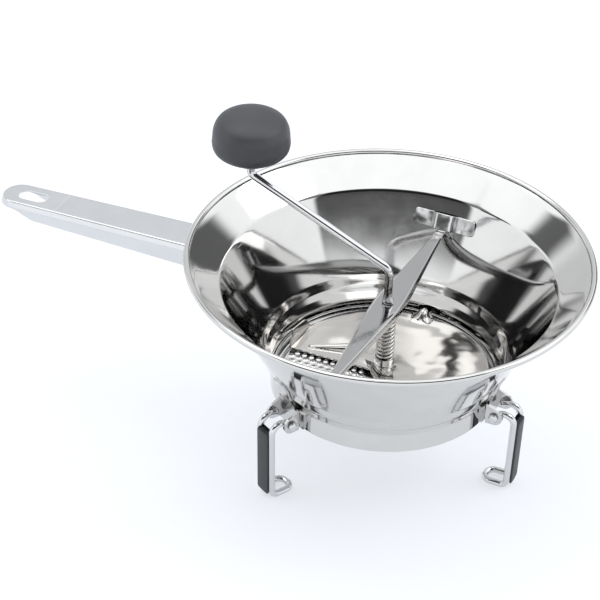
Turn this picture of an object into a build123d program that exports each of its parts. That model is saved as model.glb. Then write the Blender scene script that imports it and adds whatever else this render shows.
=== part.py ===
from build123d import *
from math import atan, cos, degrees, pi, radians, sin, sqrt
import os

os.makedirs("parts", exist_ok=True)

# Food mill, millimetres. The origin is on the crank axis at the mouth of the discharge
# collar, +Z points up, the handle runs along -X and the crossbar lies along Y.

# Bowl, pressed from one sheet
SHEET = 0.8
RIM_R = 120.0
RIM_Z = 91.0
BEAD_R = 1.9
COLLAR_R = 68.0
COLLAR_TOP = 13.0
LIP_R = 64.6
CREASE_R = 70.0
CREASE_Z = 17.5
BAND_R = 72.0
BAND_Z = 21.0
CONE_R = 74.0
CONE_Z = 27.0
SHOULDER_R = 99.5
SHOULDER_Z = 72.6
WALL_ANGLE = degrees(atan((SHOULDER_R - CONE_R) / (SHOULDER_Z - CONE_Z)))

# Handle, an inverted channel with a rounded tip
HANDLE_SHEET = 1.2
HANDLE_TIP = 260.0
HANDLE_ROOT = 82.0
HANDLE_HALF_ROOT = 14.0
HANDLE_HALF_TIP = 12.0
HANDLE_TOP_ROOT = 69.2
HANDLE_TOP_TIP = 62.2
HANDLE_SKIRT = 53.0
HANDLE_EDGE_R = 3.2
SLOT_X = 238.5
SLOT_LENGTH = 20.0
SLOT_WIDTH = 10.5

# Brackets that hold the crossbar, welded to the inner wall
STRAP_Z = 60.4
STRAP_LENGTH = 40.0
STRAP_HEIGHT = 10.0
STRAP_SHEET = 1.0
LOOP_HALF = 6.0
LOOP_RISE = 5.0
WELD_R = 0.9
WELD_STEP = 3.6
WELD_DROP = 2.5

# Crossbar
CROSS_TOP = 58.0
CROSS_SHEET = 1.2
CROSS_HALF = 8.8
CROSS_MID_HALF = 5.4
CROSS_END_HALF = 2.8
CROSS_MID = 45.0
CROSS_END = 78.0
CROSS_FLANGE = 5.5
PRONG_SHEET = 1.1
PRONG_GAP = 2.3

# Crank rod, spring and knob
ROD_R = 2.5
RUNNING_GAP = 0.05
ROD_FOOT = 0.6
ROD_BEND_Z = 81.8
ROD_REACH = 90.0
ROD_ELBOW_Z = 121.8
ROD_TOP = 147.0
ROD_BEND_R = (7.0, 4.5)
EAR_TOP = 67.0
EAR_HALF = 3.6
EAR_SHEET = 2.2
STOP_R = 3.4
STOP_HEIGHT = 2.0
SPRING_WIRE_R = 0.7
SPRING_R = 4.9
SPRING_FOOT = 15.4
SPRING_TOP = 56.0
SPRING_TURNS = 14
CUP_R = 6.3
CUP_FOOT = 13.9
CUP_TOP = 19.4
CUP_WALL = 0.7
KNOB_R = 22.9
KNOB_FOOT = 134.4
KNOB_TOP = 162.0
CAP_R = 11.9
CAP_FOOT = 131.6

# Blade, as heights of its underside at the hub and at the rim behind the trailing edge
BLADE_R = 62.5
BLADE_SHEET = 1.0
FIT_GAP = 0.03
BLADE_STATIONS = (
    (0, 5.0, 3.7),
    (30, 6.0, 6.4),
    (60, 6.6, 7.0),
    (90, 7.2, 7.4),
    (120, 8.0, 8.8),
    (150, 8.8, 12.2),
    (180, 9.4, 16.0),
    (210, 9.9, 19.4),
    (240, 10.3, 22.4),
    (270, 10.7, 25.0),
    (300, 11.0, 27.2),
    (330, 11.3, 29.2),
    (348, 11.5, 30.4),
)
SLIT_R = 13.5
LEAD_ANGLE = -50.0
HUB_R = 5.7
HUB_FOOT = 3.2
HUB_TOP = 13.6
WING_BASE = 24.0
WING_TOP = 13.0
WING_HEIGHT = 9.5
WING_SKEW = 0.0
WING_R = 60.4
WING_ANGLE = 11.4
WING_LEAN = 12.0
# Ribs pressed up in the blade: wide end (radius, half width, angle), then narrow end
BLADE_RIBS = (
    (62.4, 5.9, 91.0, 41.0, 1.3, 91.0),
    (27.0, 4.0, 28.0, 50.5, 1.3, 6.0),
)

# Strainer disc
DISC_R = 66.9
DISC_SHEET = 0.6
DISC_TOP = 2.4
DISC_RIM_Z = 8.0
HOLE_R = 1.2
HOLE_PITCH = 4.7
HOLES_OUT = 59.0
HOLES_IN = 10.0

# Folding legs
LEG_ANGLES = (0.0, 120.0, 240.0)
WIRE_R = 2.0
PIN_R = 74.0
PIN_Z = 4.5
PIN_GAP = 0.06
LEG_HALF = 5.6
STUB_END = 11.8
LEG_TOP_R = 85.9
LEG_TOP_Z = 8.2
LEG_FOOT_R = 84.6
LEG_FOOT_Z = -46.2
LEG_TOE_R = 69.8
BEND_RADII = (2.2, 6.0, 4.0, 4.8)
PAD_TOP = 0.8
PAD_FOOT = -44.4
PAD_HALF = 5.4
PAD_IN = 1.5
PAD_OUT = 3.1
BASE_SHEET = 1.2
BASE_HALF_ANGLE = 10.5
BASE_FOOT = 1.0
BASE_TOP = 11.6
WEB_R = 69.0
WEB_SHEET = 1.5
WEB_FOOT = -0.8
WEB_TOP = 12.8
CHEEK_IN = 7.9
CHEEK_R = 5.4
CHEEK_SHEET = 1.5
TAB_HALF = 5.0
TAB_TOP = 32.0


def wall_points():
    """The outside of the bowl wall as radius and height, from the lip to the rim."""
    return [
        (LIP_R, 0),
        (COLLAR_R, 0),
        (COLLAR_R, COLLAR_TOP),
        (CREASE_R, CREASE_Z),
        (BAND_R, BAND_Z),
        (CONE_R, CONE_Z),
        (SHOULDER_R, SHOULDER_Z),
        (RIM_R - BEAD_R, RIM_Z - BEAD_R),
    ]


def bowl_envelope():
    """The bowl as a full body, used to cope parts that are welded to its outside."""
    with BuildPart(mode=Mode.PRIVATE) as body:
        with BuildSketch(Plane.XZ):
            with BuildLine():
                Polyline((0, 0), *wall_points()[1:], (0, RIM_Z - BEAD_R), close=True)
            make_face()
        revolve(axis=Axis.Z)
    return body.part


def inner_wall_r(height):
    """Inside radius of the straight cone at a height."""
    slope = (SHOULDER_R - CONE_R) / (SHOULDER_Z - CONE_Z)
    return SHOULDER_R - (SHOULDER_Z - height) * slope - SHEET / cos(radians(WALL_ANGLE))


# Bowl
with BuildPart() as bowl_shell:
    with BuildSketch(Plane.XZ):
        with BuildLine() as wall_line:
            Polyline(*wall_points())
            for corner, corner_r in (
                ((COLLAR_R, 0), 1.0),
                ((COLLAR_R, COLLAR_TOP), 3.0),
                ((BAND_R, BAND_Z), 3.0),
                ((CONE_R, CONE_Z), 4.0),
                ((SHOULDER_R, SHOULDER_Z), 6.0),
            ):
                fillet(wall_line.vertices().sort_by_distance(corner)[0], radius=corner_r)
            offset(amount=SHEET, side=Side.LEFT)
        make_face()
        with Locations((RIM_R - BEAD_R, RIM_Z - BEAD_R)):
            Circle(BEAD_R)
    revolve(axis=Axis.Z)
bowl_shell.part.label = "bowl_shell"
export_step(bowl_shell.part, "parts/bowl_shell.step")


# Handle
def channel(inset):
    """The handle's body, drawn smaller by an inset for the hollow underneath."""
    half_root = HANDLE_HALF_ROOT - inset
    half_tip = HANDLE_HALF_TIP - inset
    tip = HANDLE_TIP - inset
    skirt = HANDLE_SKIRT - 5 * inset
    with BuildPart(mode=Mode.PRIVATE) as body:
        with BuildSketch(Plane.XY.offset(skirt - 5)) as outline:
            with BuildLine():
                Polyline(
                    (-HANDLE_ROOT, half_root),
                    (-tip, half_tip),
                    (-tip, -half_tip),
                    (-HANDLE_ROOT, -half_root),
                    close=True,
                )
            make_face()
            fillet(outline.vertices().group_by(Axis.X)[0], radius=half_tip - 0.5)
        extrude(amount=30)
        with BuildSketch(Plane.XZ):
            with BuildLine():
                Polyline(
                    (-HANDLE_ROOT, HANDLE_TOP_ROOT - inset),
                    (-HANDLE_TIP - 1, HANDLE_TOP_TIP - inset),
                    (-HANDLE_TIP - 1, skirt + 4.6),
                    (-HANDLE_TIP + 10, skirt + 4.6),
                    (-HANDLE_TIP + 23, skirt),
                    (-HANDLE_ROOT, skirt),
                    close=True,
                )
            make_face()
        extrude(amount=20, both=True, mode=Mode.INTERSECT)
        top_edges = body.faces().filter_by(lambda f: f.normal_at().Z > 0.9).sort_by(Axis.Z)[-1].edges()
        rim = [e for e in top_edges if e.center().X < -HANDLE_ROOT - 1]
        fillet(rim, radius=HANDLE_EDGE_R - inset)
    return body.part


with BuildPart() as handle:
    add(channel(0))
    add(channel(HANDLE_SHEET), mode=Mode.SUBTRACT)
    with BuildSketch(Plane.XY.offset(HANDLE_SKIRT)):
        with Locations((-SLOT_X, 0)):
            SlotOverall(SLOT_LENGTH, SLOT_WIDTH)
    extrude(amount=20, mode=Mode.SUBTRACT)
    add(bowl_envelope(), mode=Mode.SUBTRACT)
handle.part.label = "handle"
export_step(handle.part, "parts/handle.step")


# Crossbar brackets
def strap_frame(side):
    """Plane on the inner wall: X along the strap, Y up the wall, Z away from the wall."""
    tilt = radians(WALL_ANGLE)
    return Plane(
        origin=(0, side * inner_wall_r(STRAP_Z), STRAP_Z),
        x_dir=(side, 0, 0),
        z_dir=(0, -side * cos(tilt), sin(tilt)),
    )


def wall_sag(along):
    """How far the round wall comes forward beside the strap's middle."""
    curve_r = inner_wall_r(STRAP_Z) / cos(radians(WALL_ANGLE)) - 1.5
    return curve_r - sqrt(curve_r**2 - along**2) + 0.1


def crossbar_bracket(side):
    frame = strap_frame(side)
    end = STRAP_LENGTH / 2
    knee = LOOP_HALF + 2.2
    section_plane = Plane(
        origin=frame.origin - frame.y_dir * STRAP_HEIGHT / 2, x_dir=frame.x_dir, z_dir=frame.y_dir
    )
    with BuildPart(mode=Mode.PRIVATE) as strap:
        with BuildSketch(section_plane):
            with BuildLine() as line:
                Polyline(
                    (-end, -wall_sag(end)),
                    (-(end + knee) / 2, -wall_sag((end + knee) / 2)),
                    (-knee, -wall_sag(knee)),
                    (-LOOP_HALF, -LOOP_RISE),
                    (LOOP_HALF, -LOOP_RISE),
                    (knee, -wall_sag(knee)),
                    ((end + knee) / 2, -wall_sag((end + knee) / 2)),
                    (end, -wall_sag(end)),
                )
                for corner in ((-LOOP_HALF, -LOOP_RISE), (LOOP_HALF, -LOOP_RISE)):
                    fillet(line.vertices().sort_by_distance(corner)[0], radius=1.2)
                offset(amount=STRAP_SHEET, side=Side.RIGHT)
            make_face()
        extrude(amount=STRAP_HEIGHT)
        with BuildSketch(frame.offset(-1)):
            RectangleRounded(STRAP_LENGTH, STRAP_HEIGHT, 2.4)
        extrude(amount=14, mode=Mode.INTERSECT)
        for hand in (-1, 1):
            for step in (-1, 0, 1):
                along = hand * ((end + knee) / 2 + step * WELD_STEP)
                with Locations(frame * Location((along, -step * WELD_DROP, wall_sag(along) + STRAP_SHEET + 0.5))):
                    Sphere(WELD_R, mode=Mode.SUBTRACT)
    return strap.part


with BuildPart() as crossbar_bracket_rear:
    add(crossbar_bracket(1))
crossbar_bracket_rear.part.label = "crossbar_bracket_rear"
export_step(crossbar_bracket_rear.part, "parts/crossbar_bracket_rear.step")

with BuildPart() as crossbar_bracket_front:
    add(crossbar_bracket(-1))
crossbar_bracket_front.part.label = "crossbar_bracket_front"
export_step(crossbar_bracket_front.part, "parts/crossbar_bracket_front.step")


# Crossbar: a leaf-shaped plate with its edges folded down and a prong at each end
def leaf(inset):
    with BuildSketch(mode=Mode.PRIVATE) as face:
        with BuildLine():
            right = Spline(
                (CROSS_END_HALF - inset, CROSS_END - inset),
                (CROSS_MID_HALF - inset, CROSS_MID),
                (CROSS_HALF - inset, 0),
                (CROSS_MID_HALF - inset, -CROSS_MID),
                (CROSS_END_HALF - inset, -CROSS_END + inset),
            )
            left = mirror(right, about=Plane.YZ)
            end_half = CROSS_END_HALF - inset
            end = CROSS_END - inset
            Line((end_half, end), (-end_half, end))
            Line((end_half, -end), (-end_half, -end))
        make_face()
    return face.sketch


with BuildPart() as crossbar:
    with BuildSketch(Plane.XY.offset(CROSS_TOP - CROSS_FLANGE)):
        add(leaf(0))
    extrude(amount=CROSS_FLANGE)
    fillet(crossbar.edges().group_by(Axis.Z)[-1].filter_by(lambda e: e.length > 20), radius=1.0)
    with BuildSketch(Plane.XY.offset(CROSS_TOP - CROSS_FLANGE)):
        add(leaf(CROSS_SHEET))
    extrude(amount=CROSS_FLANGE - CROSS_SHEET, mode=Mode.SUBTRACT)
    with BuildSketch(Plane.YZ):
        with BuildLine():
            ThreePointArc(
                (-CROSS_END - 1, CROSS_TOP - 2.2),
                (0, CROSS_TOP - CROSS_FLANGE),
                (CROSS_END + 1, CROSS_TOP - 2.2),
            )
            Polyline(
                (CROSS_END + 1, CROSS_TOP - 2.2),
                (CROSS_END + 1, CROSS_TOP - CROSS_FLANGE - 2),
                (-CROSS_END - 1, CROSS_TOP - CROSS_FLANGE - 2),
                (-CROSS_END - 1, CROSS_TOP - 2.2),
            )
        make_face()
    extrude(amount=CROSS_HALF + 1, both=True, mode=Mode.SUBTRACT)
    tilt_rad = radians(WALL_ANGLE)
    for side in (-1, 1):
        prong_r = inner_wall_r(STRAP_Z) - PRONG_GAP * cos(tilt_rad)
        prong_z = STRAP_Z + PRONG_GAP * sin(tilt_rad)
        low = (prong_z - CROSS_TOP + CROSS_SHEET) / cos(tilt_rad)
        high = STRAP_HEIGHT / 2 - 3.0
        inward = (-cos(tilt_rad), sin(tilt_rad))
        along = (sin(tilt_rad), cos(tilt_rad))
        foot = (prong_r - low * along[0], prong_z - low * along[1])
        head = (prong_r - high * along[0], prong_z - high * along[1])
        with BuildSketch(Plane.YZ):
            with BuildLine():
                Polyline(
                    (side * (CROSS_END - 3), CROSS_TOP - CROSS_SHEET),
                    (side * foot[0], foot[1]),
                    (side * head[0], head[1]),
                    (side * (head[0] + PRONG_SHEET * inward[0]), head[1] + PRONG_SHEET * inward[1]),
                    (side * (foot[0] - 1.0), CROSS_TOP),
                    (side * (CROSS_END - 3), CROSS_TOP),
                    close=True,
                )
            make_face()
        extrude(amount=CROSS_END_HALF, both=True)
    with BuildSketch(Plane.XY.offset(CROSS_TOP - CROSS_FLANGE)):
        Circle(ROD_R + RUNNING_GAP)
    extrude(amount=CROSS_FLANGE + 1, mode=Mode.SUBTRACT)
crossbar.part.label = "crossbar"
export_step(crossbar.part, "parts/crossbar.step")

# Crank rod with the two pressed ears that stop the crossbar
with BuildPart() as crank_rod:
    with BuildLine() as rod_line:
        FilletPolyline(
            (0, 0, ROD_FOOT),
            (0, 0, ROD_BEND_Z),
            (-ROD_REACH, 0, ROD_ELBOW_Z),
            (-ROD_REACH, 0, ROD_TOP),
            radius=ROD_BEND_R,
        )
    with BuildSketch(Plane.XY.offset(ROD_FOOT)):
        Circle(ROD_R)
    sweep(path=rod_line.line)
    with BuildSketch(Plane.XZ):
        with BuildLine():
            Polyline(
                (-EAR_HALF, CROSS_TOP + 0.4),
                (EAR_HALF, CROSS_TOP + 0.4),
                (ROD_R - 0.6, EAR_TOP),
                (0.6 - ROD_R, EAR_TOP),
                close=True,
            )
        make_face()
    extrude(amount=EAR_SHEET / 2, both=True)
    with Locations((0, 0, CROSS_TOP + 0.4 + STOP_HEIGHT / 2)):
        Cone(STOP_R, ROD_R, STOP_HEIGHT)
crank_rod.part.label = "crank_rod"
export_step(crank_rod.part, "parts/crank_rod.step")

# Spring under the crossbar
with BuildPart() as spring:
    with BuildLine() as coil:
        Helix(
            pitch=(SPRING_TOP - SPRING_FOOT) / SPRING_TURNS,
            height=SPRING_TOP - SPRING_FOOT,
            radius=SPRING_R,
            center=(0, 0, SPRING_FOOT),
        )
    with BuildSketch(Plane(origin=coil.line @ 0, z_dir=coil.line % 0)):
        Circle(SPRING_WIRE_R)
    sweep(path=coil.line, is_frenet=True)
spring.part.label = "spring"
export_step(spring.part, "parts/spring.step")

# Cup that the spring stands in
with BuildPart() as spring_cup:
    with BuildSketch(Plane.XZ):
        with BuildLine() as cup_line:
            Polyline(
                (ROD_R + 0.4, CUP_FOOT),
                (CUP_R, CUP_FOOT),
                (CUP_R, CUP_TOP),
            )
            fillet(cup_line.vertices().sort_by_distance((CUP_R, CUP_FOOT))[0], radius=1.6)
            offset(amount=CUP_WALL, side=Side.LEFT)
        make_face()
    revolve(axis=Axis.Z)
spring_cup.part.label = "spring_cup"
export_step(spring_cup.part, "parts/spring_cup.step")

# Hub that clamps the blade to the rod
with BuildPart() as blade_hub:
    with BuildSketch(Plane.XY.offset(HUB_FOOT)):
        Circle(HUB_R)
        Circle(ROD_R, mode=Mode.SUBTRACT)
    extrude(amount=HUB_TOP - HUB_FOOT)
    top_circles = blade_hub.edges().filter_by(GeomType.CIRCLE).group_by(Axis.Z)[-1]
    fillet(top_circles.sort_by(SortBy.RADIUS)[-1], radius=0.8)
blade_hub.part.label = "blade_hub"
export_step(blade_hub.part, "parts/blade_hub.step")


# Blade: nearly a full turn of sheet that climbs from its trailing edge to its leading edge
def blade_point(radius, angle, height):
    """A point at an angle behind the trailing edge, which lies along -X."""
    turn = radians(180 - angle)
    return (radius * cos(turn), radius * sin(turn), height)


def blade_station(angle, inner_z, outer_z):
    """Section of the sheet, a thin four-sided face that stands on a radius."""
    corners = (
        blade_point(HUB_R + FIT_GAP, angle, inner_z),
        blade_point(BLADE_R, angle, outer_z),
        blade_point(BLADE_R, angle, outer_z + BLADE_SHEET),
        blade_point(HUB_R + FIT_GAP, angle, inner_z + BLADE_SHEET),
    )
    upright = Plane(
        origin=(0, 0, 0), x_dir=blade_point(1, angle, 0), z_dir=blade_point(1, angle + 90, 0)
    )
    with BuildSketch(upright, mode=Mode.PRIVATE) as section:
        with BuildLine():
            Polyline(*[upright.to_local_coords(Vector(*corner)) for corner in corners], close=True)
        make_face()
    return section.sketch


def sheet_z(radius, angle):
    """Height of the sheet's underside between two stations."""
    for low, high in zip(BLADE_STATIONS, BLADE_STATIONS[1:]):
        if low[0] <= angle <= high[0]:
            share = (angle - low[0]) / (high[0] - low[0])
            inner = low[1] + share * (high[1] - low[1])
            outer = low[2] + share * (high[2] - low[2])
            return inner + (outer - inner) * (radius - HUB_R) / (BLADE_R - HUB_R)
    return 0.0


def rib_cone(start, start_r, end, end_r):
    """A cone lying on the sheet from one point to another, with a ball at its wide end."""
    run = Vector(*end) - Vector(*start)
    with BuildPart(mode=Mode.PRIVATE) as body:
        with Locations(Plane(origin=Vector(*start) + run / 2, z_dir=run)):
            Cone(start_r, end_r, run.length)
        with Locations(start):
            Sphere(start_r)
    return body.part


with BuildPart() as blade:
    loft(sections=[blade_station(*station) for station in BLADE_STATIONS])
    lead = (cos(radians(LEAD_ANGLE)), sin(radians(LEAD_ANGLE)))
    with BuildSketch(Plane.XY):
        with BuildLine():
            Polyline(
                (-SLIT_R, -0.05),
                (-SLIT_R + 2 * BLADE_R * lead[0], -0.05 + 2 * BLADE_R * lead[1]),
                (-2 * BLADE_R, -2 * BLADE_R),
                (-2 * BLADE_R, -0.05),
                close=True,
            )
        make_face()
    extrude(amount=60, mode=Mode.SUBTRACT)
    for wide_at, wide_r, wide_angle, thin_at, thin_r, thin_angle in BLADE_RIBS:
        wide = blade_point(wide_at, wide_angle, sheet_z(wide_at, wide_angle) + 0.2)
        thin = blade_point(thin_at, thin_angle, sheet_z(thin_at, thin_angle) + 0.2)
        with BuildPart(mode=Mode.PRIVATE) as hump:
            add(rib_cone(wide, wide_r, thin, thin_r))
            with BuildSketch(Plane.XY.offset(min(wide[2], thin[2]))):
                Circle(BLADE_R)
            extrude(amount=20, mode=Mode.INTERSECT)
        add(hump.part)
        add(rib_cone(wide, wide_r - BLADE_SHEET, thin, thin_r - BLADE_SHEET), mode=Mode.SUBTRACT)
    wing_out = Vector(*blade_point(1, WING_ANGLE, 0))
    wing_plane = Plane(
        origin=Vector(*blade_point(WING_R, WING_ANGLE, sheet_z(WING_R, WING_ANGLE) + BLADE_SHEET / 2)),
        x_dir=Vector(*blade_point(1, WING_ANGLE - 90, 0)),
        z_dir=wing_out * cos(radians(WING_LEAN)) - Vector(0, 0, sin(radians(WING_LEAN))),
    )
    with BuildSketch(wing_plane) as wing:
        Polygon(
            (-WING_BASE / 2, 0),
            (WING_BASE / 2, 0),
            (WING_TOP / 2 + WING_SKEW, WING_HEIGHT),
            (WING_SKEW - WING_TOP / 2, WING_HEIGHT),
            align=None,
        )
        fillet(wing.vertices().sort_by(Axis.Z)[-2:], radius=1.5)
    extrude(amount=BLADE_SHEET)
blade.part.label = "blade"
export_step(blade.part, "parts/blade.step")

# Strainer disc
with BuildPart() as strainer_disc:
    with BuildSketch(Plane.XZ):
        with BuildLine() as disc_line:
            Polyline(
                (ROD_R + 0.5, DISC_TOP - DISC_SHEET),
                (62.0, DISC_TOP - DISC_SHEET),
                (63.6, SHEET + 0.05),
                (DISC_R, SHEET + 0.05),
                (DISC_R, DISC_RIM_Z),
            )
            fillet(disc_line.vertices().sort_by_distance((DISC_R, SHEET + 0.05))[0], radius=1.4)
            offset(amount=DISC_SHEET, side=Side.LEFT)
        make_face()
    revolve(axis=Axis.Z)
    rows = int(HOLES_OUT / (HOLE_PITCH * 0.866)) + 1
    hole_spots = []
    for row in range(-rows, rows + 1):
        for column in range(-rows, rows + 1):
            x = HOLE_PITCH * (column + 0.5 * (row % 2))
            y = HOLE_PITCH * 0.866 * row
            if HOLES_IN < sqrt(x * x + y * y) < HOLES_OUT:
                hole_spots.append((x, y))
    with BuildSketch(Plane.XY):
        with Locations(hole_spots):
            Circle(HOLE_R)
    extrude(amount=DISC_TOP + 1, mode=Mode.SUBTRACT)
strainer_disc.part.label = "strainer_disc"
export_step(strainer_disc.part, "parts/strainer_disc.step")

# Knob and the small cap under it
knob_plane = Plane(origin=(-ROD_REACH, 0, 0), x_dir=(1, 0, 0), z_dir=(0, -1, 0))
knob_axis = Axis((-ROD_REACH, 0, 0), (0, 0, 1))
with BuildPart() as crank_knob:
    with BuildSketch(knob_plane):
        with BuildLine():
            Polyline((0, KNOB_TOP), (0, KNOB_FOOT), (12.6, KNOB_FOOT))
            Spline(
                (12.6, KNOB_FOOT),
                (17.6, KNOB_FOOT + 1.7),
                (21.6, KNOB_FOOT + 4.6),
                (KNOB_R, KNOB_FOOT + 8.4),
                (22.7, KNOB_FOOT + 12.6),
                (22.0, KNOB_TOP - 9.4),
                (19.4, KNOB_TOP - 4.6),
                (14.2, KNOB_TOP - 1.7),
                (7.4, KNOB_TOP - 0.4),
                (0, KNOB_TOP),
                tangents=((1, 0.15), (-1, 0)),
            )
        make_face()
    revolve(axis=knob_axis)
    with BuildSketch(Plane.XY.offset(KNOB_FOOT)):
        with Locations((-ROD_REACH, 0)):
            Circle(ROD_R + RUNNING_GAP)
    extrude(amount=ROD_TOP - KNOB_FOOT + 0.5, mode=Mode.SUBTRACT)
crank_knob.part.label = "crank_knob"
export_step(crank_knob.part, "parts/crank_knob.step")

with BuildPart() as knob_cap:
    with BuildSketch(Plane.XY.offset(CAP_FOOT)):
        with Locations((-ROD_REACH, 0)):
            Circle(CAP_R)
            Circle(ROD_R + RUNNING_GAP, mode=Mode.SUBTRACT)
    extrude(amount=KNOB_FOOT - CAP_FOOT)
    foot_circles = knob_cap.edges().filter_by(GeomType.CIRCLE).group_by(Axis.Z)[0]
    fillet(foot_circles.sort_by(SortBy.RADIUS)[-1], radius=1.2)
knob_cap.part.label = "knob_cap"
export_step(knob_cap.part, "parts/knob_cap.step")


# Legs: a wire loop hinged in a bracket, with a pad over both its wires
def leg_wire():
    points = [
        (PIN_R, STUB_END, PIN_Z),
        (PIN_R, LEG_HALF, PIN_Z),
        (LEG_TOP_R, LEG_HALF, LEG_TOP_Z),
        (LEG_FOOT_R, LEG_HALF, LEG_FOOT_Z),
        (LEG_TOE_R, LEG_HALF, LEG_FOOT_Z),
    ]
    back = [(x, -y, z) for x, y, z in reversed(points)]
    with BuildPart(mode=Mode.PRIVATE) as wire:
        with BuildLine() as line:
            FilletPolyline(*points, *back, radius=(*BEND_RADII, *reversed(BEND_RADII)))
        with BuildSketch(Plane(origin=line.line @ 0, z_dir=line.line % 0)):
            Circle(WIRE_R)
        sweep(path=line.line)
    return wire.part


def leg_pad():
    lean = atan((LEG_TOP_R - LEG_FOOT_R) / (LEG_TOP_Z - LEG_FOOT_Z))
    run = Plane(
        origin=(LEG_FOOT_R, 0, LEG_FOOT_Z),
        x_dir=(cos(lean), 0, -sin(lean)),
        z_dir=(sin(lean), 0, cos(lean)),
    )
    with BuildPart(mode=Mode.PRIVATE) as pad:
        with BuildSketch(run.offset(PAD_FOOT - LEG_FOOT_Z)):
            with Locations(((PAD_OUT - PAD_IN) / 2, 0)):
                RectangleRounded(PAD_IN + PAD_OUT, 2 * PAD_HALF, 0.8)
        extrude(amount=PAD_TOP - PAD_FOOT)
        with BuildSketch(run):
            with Locations((0, LEG_HALF), (0, -LEG_HALF)):
                Circle(WIRE_R + 0.03)
        extrude(amount=PAD_TOP - LEG_FOOT_Z + 5, mode=Mode.SUBTRACT)
    return pad.part


def leg_bracket():
    slope = (SHOULDER_R - CONE_R) / (SHOULDER_Z - CONE_Z)
    reach = 2 * WEB_R
    wedge = radians(BASE_HALF_ANGLE)
    with BuildPart(mode=Mode.PRIVATE) as bracket:
        with BuildSketch(Plane.XY.offset(BASE_FOOT)):
            Circle(COLLAR_R + BASE_SHEET)
            Circle(COLLAR_R + 0.02, mode=Mode.SUBTRACT)
            with BuildLine():
                Polyline(
                    (0, 0),
                    (reach * cos(wedge), -reach * sin(wedge)),
                    (reach * cos(wedge), reach * sin(wedge)),
                    close=True,
                )
            make_face(mode=Mode.INTERSECT)
        extrude(amount=BASE_TOP - BASE_FOOT)
        with BuildSketch(Plane.YZ.offset(WEB_R)):
            with Locations((0, (WEB_FOOT + WEB_TOP) / 2)):
                Rectangle(2 * (CHEEK_IN + CHEEK_SHEET), WEB_TOP - WEB_FOOT)
        extrude(amount=WEB_SHEET)
        with BuildSketch(Plane.XZ):
            with BuildLine() as tab_line:
                Polyline(
                    (WEB_R + 0.2, WEB_TOP - 3),
                    (WEB_R + 0.2, WEB_TOP + 1.4),
                    (BAND_R + 0.1, BAND_Z - 0.4),
                    (CONE_R + 0.06, CONE_Z),
                    (CONE_R + 0.06 + (TAB_TOP - CONE_Z) * slope, TAB_TOP),
                )
                offset(amount=BASE_SHEET, side=Side.RIGHT)
            make_face()
        extrude(amount=TAB_HALF, both=True)
        for side in (-1, 1):
            with BuildSketch(Plane.XZ.offset(side * (CHEEK_IN + CHEEK_SHEET / 2))):
                with BuildLine():
                    CenterArc((PIN_R, PIN_Z), CHEEK_R, 0, 360)
                    Polyline((WEB_R, WEB_FOOT), (WEB_R, WEB_TOP))
                make_hull()
                with Locations((PIN_R, PIN_Z)):
                    Circle(WIRE_R + PIN_GAP, mode=Mode.SUBTRACT)
            extrude(amount=CHEEK_SHEET / 2, both=True)
    return bracket.part


for number, angle in enumerate(LEG_ANGLES, start=1):
    turn = Location((0, 0, 0), (0, 0, angle))
    for kind, shape in (("leg_wire", leg_wire()), ("leg_pad", leg_pad()), ("leg_bracket", leg_bracket())):
        with BuildPart() as piece:
            add(shape.moved(turn))
        piece.part.label = f"{kind}_{number}"
        export_step(piece.part, f"parts/{kind}_{number}.step")
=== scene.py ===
import math
import bmesh
import bpy
from mathutils import Matrix, Vector, geometry


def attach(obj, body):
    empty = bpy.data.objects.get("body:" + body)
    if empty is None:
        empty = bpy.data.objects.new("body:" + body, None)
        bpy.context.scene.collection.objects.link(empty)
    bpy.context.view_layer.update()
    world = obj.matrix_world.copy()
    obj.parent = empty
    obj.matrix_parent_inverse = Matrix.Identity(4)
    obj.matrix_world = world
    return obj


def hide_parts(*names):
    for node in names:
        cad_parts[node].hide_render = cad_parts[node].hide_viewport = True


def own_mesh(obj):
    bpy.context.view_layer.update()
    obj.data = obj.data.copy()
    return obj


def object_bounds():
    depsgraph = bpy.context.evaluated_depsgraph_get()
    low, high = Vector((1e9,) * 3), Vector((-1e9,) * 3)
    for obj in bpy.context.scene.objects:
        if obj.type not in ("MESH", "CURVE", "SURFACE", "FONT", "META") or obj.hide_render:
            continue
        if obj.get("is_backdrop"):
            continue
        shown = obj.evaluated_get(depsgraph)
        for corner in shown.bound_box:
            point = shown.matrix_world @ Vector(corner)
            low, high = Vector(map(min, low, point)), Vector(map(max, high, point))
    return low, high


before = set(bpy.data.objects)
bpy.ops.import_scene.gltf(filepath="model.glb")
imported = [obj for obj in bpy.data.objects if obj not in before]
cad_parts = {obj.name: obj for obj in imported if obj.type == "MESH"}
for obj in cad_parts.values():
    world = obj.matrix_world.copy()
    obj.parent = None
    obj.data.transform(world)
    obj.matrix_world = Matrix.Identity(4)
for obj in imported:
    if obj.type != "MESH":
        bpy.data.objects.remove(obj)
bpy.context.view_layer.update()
MM = 0.001

# ---------------------------------------------------------------- mesh helpers (millimetres in)


def polar(radius, angle, z=0.0):
    a = math.radians(angle)
    return Vector((radius * math.cos(a), radius * math.sin(a), z))


def rounded(points, radii, turn_step=7.0):
    """A polyline with its inner corners rounded."""
    points = [Vector(p) for p in points]
    out = [points[0]]
    for i in range(1, len(points) - 1):
        corner, r = points[i], radii[i - 1]
        a = (points[i - 1] - corner).normalized()
        b = (points[i + 1] - corner).normalized()
        inside = a.angle(b)
        turn = math.pi - inside
        if r <= 0 or turn < 0.01:
            out.append(corner)
            continue
        reach = r * math.tan(turn / 2)
        centre = corner + (a + b).normalized() * (r / math.sin(inside / 2))
        start = corner + a * reach - centre
        end = corner + b * reach - centre
        axis = start.cross(end).normalized()
        count = max(3, int(math.degrees(turn) / turn_step))
        for k in range(count + 1):
            out.append(centre + Matrix.Rotation(turn * k / count, 3, axis) @ start)
    out.append(points[-1])
    return out


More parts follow.
